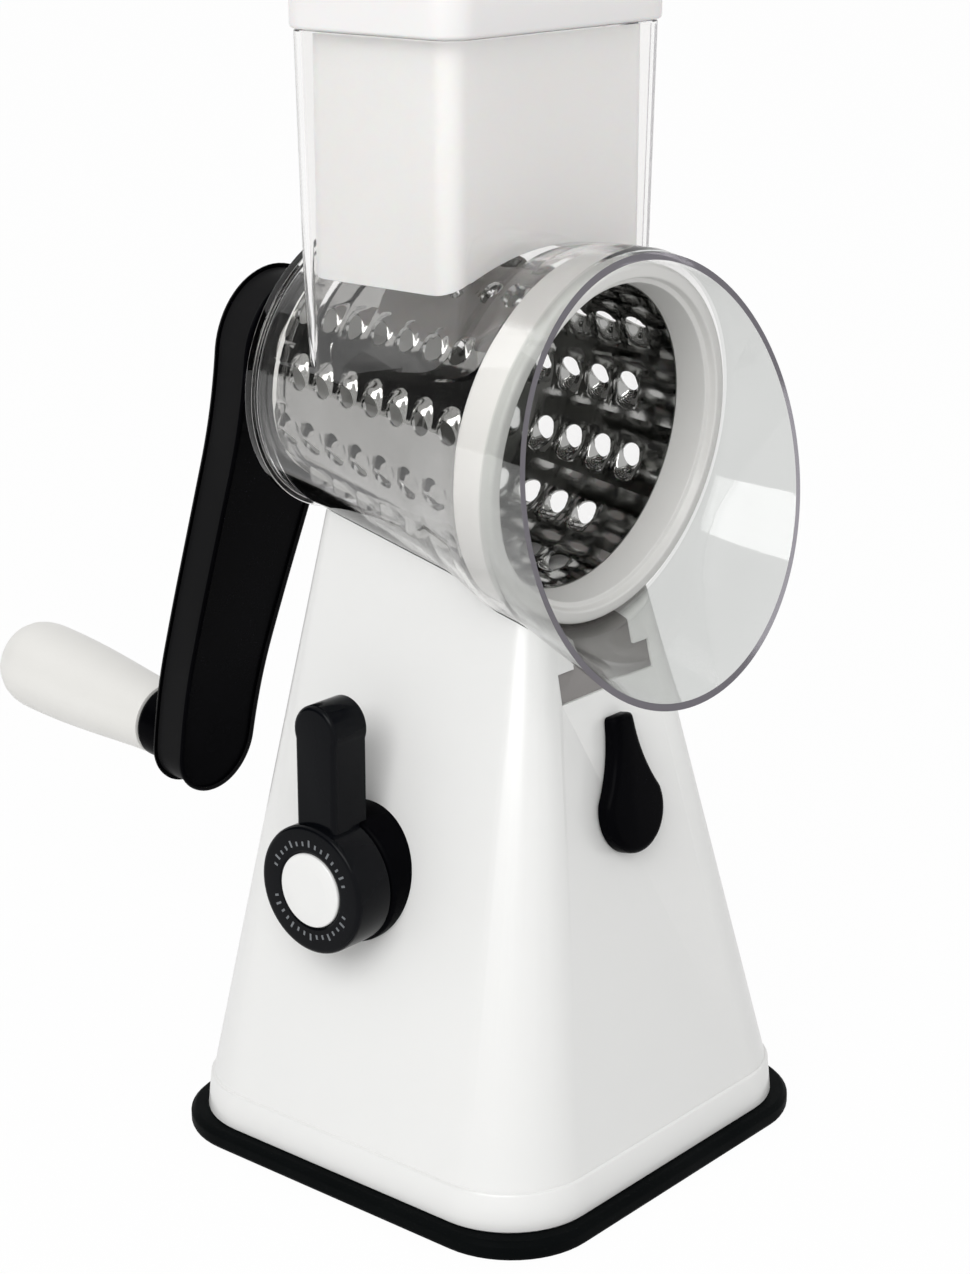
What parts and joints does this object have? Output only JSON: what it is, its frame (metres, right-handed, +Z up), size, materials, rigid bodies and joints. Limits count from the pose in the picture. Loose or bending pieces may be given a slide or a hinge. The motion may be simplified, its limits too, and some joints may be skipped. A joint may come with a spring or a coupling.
{
  "type": "rotary cabbage shredder",
  "caption": "Hand-cranked drum shredder: clear housing with feed chute and funnel, perforated cutting drum, pusher, side crank and a tapered suction pedestal.",
  "frame": {"origin": "centre of the underside of the rubber foot", "axes": "+Z up; the drum's mouth and funnel face -Y, the crank is at the back (+Y), the suction lever is on the -X face"},
  "size_m": [0.1444, 0.2852, 0.3358],
  "materials": {
    "white_shell": "glossy white moulded plastic",
    "black_gloss": "glossy black moulded plastic",
    "clear_shell": "clear moulded plastic, slightly grey",
    "milky_plastic": "milky white plastic",
    "drum_steel": "stamped stainless sheet",
    "pin_steel": "turned steel",
    "foot_rubber": "black rubber",
    "inner_plastic": "plain moulded plastic"
  },
  "bodies": {
    "base": {"base_shell": "white_shell", "rubber_foot": "foot_rubber", "suction_membrane": "foot_rubber", "base_plate": "inner_plastic", "base_plate_screws": "pin_steel", "cam_bracket": "inner_plastic", "lever_boss": "black_gloss", "return_spring": "pin_steel", "feed_barrel": "clear_shell", "feed_saddle": "clear_shell", "feed_chute": "clear_shell", "feed_funnel": "clear_shell", "shaft_boss": "clear_shell", "housing_rail": "clear_shell", "rear_bush": "inner_plastic"},
    "rotor": {"drum": "drum_steel", "drum_ring": "white_shell", "drum_hub": "inner_plastic", "crank_shaft": "pin_steel", "crank_arm": "black_gloss", "arm_screw": "pin_steel", "knob_pin": "pin_steel", "knob_collar": "black_gloss"},
    "grip": {"crank_knob": "white_shell"},
    "pusher": {"pusher_body": "milky_plastic", "pusher_cap": "milky_plastic"},
    "lever": {"suction_lever": "black_gloss", "lever_cap": "white_shell", "lever_screw": "pin_steel", "lever_shaft": "pin_steel", "lift_cam": "inner_plastic"},
    "lift": {"pull_rod": "pin_steel", "rod_foot": "pin_steel", "rod_collar": "pin_steel", "lift_yoke": "inner_plastic"},
    "latch": {"latch_knob": "black_gloss", "latch_stem": "black_gloss", "latch_clip": "pin_steel", "latch_cam": "inner_plastic"},
    "bolt": {"latch_bolt": "inner_plastic"}
  },
  "joints": [
    {"name": "drum_turn", "type": "hinge", "parent": "base", "child": "rotor", "pos_m": [0, 0, 0.2182], "axis": [0, -0.9945, -0.1045], "continuous": true},
    {"name": "grip_turn", "type": "hinge", "parent": "rotor", "child": "grip", "pos_m": [0, 0.13874, 0.09402], "axis": [0, -0.9945, -0.1045], "continuous": true},
    {"name": "pusher_slide", "type": "slide", "parent": "base", "child": "pusher", "axis": [0, 0, 1], "range_m": [0, 0.09]},
    {"name": "lever_turn", "type": "hinge", "parent": "base", "child": "lever", "pos_m": [-0.06, 0.009, 0.091], "axis": [1, 0, 0], "range_deg": [0, 90]},
    {"name": "rod_lift", "type": "slide", "parent": "base", "child": "lift", "axis": [0, 0, 1], "range_m": [0, 0.0041], "deforming": ["return_spring", "suction_membrane"]},
    {"name": "latch_turn", "type": "hinge", "parent": "base", "child": "latch", "pos_m": [0, -0.04897, 0.11], "axis": [0, 0.9824, -0.1869], "range_deg": [0, 90]},
    {"name": "bolt_slide", "type": "slide", "parent": "base", "child": "bolt", "axis": [0, 0.1869, 0.9824], "range_m": [-0.0045, 0]}
  ],
  "couplings": [
    {"joint": "rod_lift", "follows": "lever_turn", "m_per_rad": 0.0025465},
    {"joint": "bolt_slide", "follows": "latch_turn", "m_per_rad": -0.0028011}
  ]
}
